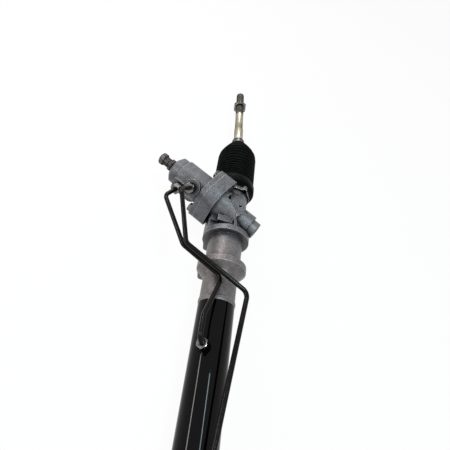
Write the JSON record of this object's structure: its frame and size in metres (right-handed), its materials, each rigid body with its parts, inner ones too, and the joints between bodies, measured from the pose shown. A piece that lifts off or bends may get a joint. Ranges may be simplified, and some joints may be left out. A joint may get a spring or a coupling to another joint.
{
  "type": "hydraulic power steering rack",
  "caption": "Hydraulic power steering gear: helical pinion and rotary valve in cast housings drive a rack whose piston runs in a steel cylinder, with ball-jointed tie rods under rubber boots.",
  "frame": {"origin": "centre of the clamp seat beside the pinion, on the rack's axis", "axes": "+X along the rack away from the pinion-side tie rod, +Z from the rack towards the pinion, square to the plane of the rack teeth; the valve and input shaft lie towards -Y"},
  "size_m": [1.076, 0.1756, 0.1094],
  "materials": {
    "cast_aluminium": "fine sand-cast, slightly rough",
    "machined_aluminium": "turned",
    "machined_steel": "ground and hardened",
    "bearing_steel": "ground",
    "spring_steel": "blued",
    "zinc_steel": "bright zinc plate",
    "black_paint": "gloss black",
    "coated_pipe": "dark semi-gloss coating",
    "bearing_bronze": "plain",
    "boot_rubber": "satin",
    "seal_rubber": "matt",
    "nylon": "natural"
  },
  "bodies": {
    "housing": {"boot_clamp_left": "zinc_steel", "boot_clamp_right": "zinc_steel", "boot_left": "boot_rubber", "boot_right": "boot_rubber", "cylinder_end_stopper": "machined_steel", "cylinder_port_bosses": "black_paint", "cylinder_tube": "black_paint", "cylinder_union_nuts": "zinc_steel", "end_stopper_wire": "spring_steel", "inner_rack_seal": "seal_rubber", "inner_seal_retainer": "machined_aluminium", "input_shaft_bearing": "bearing_steel", "input_shaft_seal": "seal_rubber", "input_snap_ring": "spring_steel", "long_transfer_pipe": "coated_pipe", "outer_rack_seal": "seal_rubber", "pinion_end_plug": "machined_aluminium", "pinion_housing": "cast_aluminium", "pinion_lower_bearing": "bearing_steel", "pinion_oil_seal": "seal_rubber", "pinion_upper_bearing": "bearing_steel", "rack_bushing": "bearing_bronze", "rack_guide": "machined_aluminium", "rack_guide_liner": "bearing_bronze", "rack_guide_lock_nut": "zinc_steel", "rack_guide_o_ring": "seal_rubber", "rack_guide_plug": "machined_aluminium", "rack_guide_springs": "spring_steel", "short_transfer_pipe": "coated_pipe", "valve_housing": "cast_aluminium", "valve_housing_bolts": "zinc_steel", "valve_housing_o_ring": "seal_rubber", "valve_union_nuts": "zinc_steel"},
    "rack": {"rack_bar": "machined_steel", "piston": "machined_steel", "piston_ring": "nylon", "piston_snap_rings": "spring_steel", "ball_socket_left": "machined_steel", "ball_socket_right": "machined_steel", "lock_washer_left": "zinc_steel", "lock_washer_right": "zinc_steel"},
    "pinion": {"pinion_shaft": "machined_steel", "valve_sleeve": "machined_steel", "sleeve_seal_rings": "nylon", "sleeve_pin": "spring_steel", "torsion_bar": "spring_steel"},
    "input_shaft": {"input_shaft": "machined_steel", "torsion_bar_pin": "spring_steel", "input_dust_cover": "boot_rubber"},
    "ball_seat_left": {"ball_liner_left": "nylon"},
    "ball_seat_right": {"ball_liner_right": "nylon"},
    "tie_rod_left": {"tie_rod_left": "zinc_steel", "jam_nut_left": "zinc_steel", "boot_clip_left": "zinc_steel"},
    "tie_rod_right": {"tie_rod_right": "zinc_steel", "jam_nut_right": "zinc_steel", "boot_clip_right": "zinc_steel"}
  },
  "joints": [
    {"name": "rack_slide", "type": "slide", "parent": "housing", "child": "rack", "axis": [1, 0, 0], "range_m": [-0.072, 0.072], "deforming": ["boot_left", "boot_right"]},
    {"name": "pinion_spin", "type": "hinge", "parent": "housing", "child": "pinion", "pos_m": [-0.0657, 0, 0.01601], "axis": [-0.4863, -0.8738, 0], "range_deg": [-590, 590]},
    {"name": "input_twist", "type": "hinge", "parent": "pinion", "child": "input_shaft", "pos_m": [-0.09488, -0.05243, 0.01601], "axis": [-0.4863, -0.8738, 0], "range_deg": [-4, 4], "stiffness_Nm_per_rad": 60},
    {"name": "ball_left_up_down", "type": "hinge", "parent": "rack", "child": "ball_seat_left", "pos_m": [-0.212, 0, 0], "axis": [0, 1, 0], "range_deg": [-18, 18]},
    {"name": "ball_left_fore_aft", "type": "hinge", "parent": "ball_seat_left", "child": "tie_rod_left", "pos_m": [-0.212, 0, 0], "axis": [0, 0, 1], "range_deg": [-18, 18]},
    {"name": "ball_right_up_down", "type": "hinge", "parent": "rack", "child": "ball_seat_right", "pos_m": [0.456, 0, 0], "axis": [0, 1, 0], "range_deg": [-18, 18]},
    {"name": "ball_right_fore_aft", "type": "hinge", "parent": "ball_seat_right", "child": "tie_rod_right", "pos_m": [0.456, 0, 0], "axis": [0, 0, 1], "range_deg": [-18, 18]}
  ],
  "couplings": [
    {"joint": "pinion_spin", "follows": "rack_slide", "rad_per_m": 142.86}
  ]
}
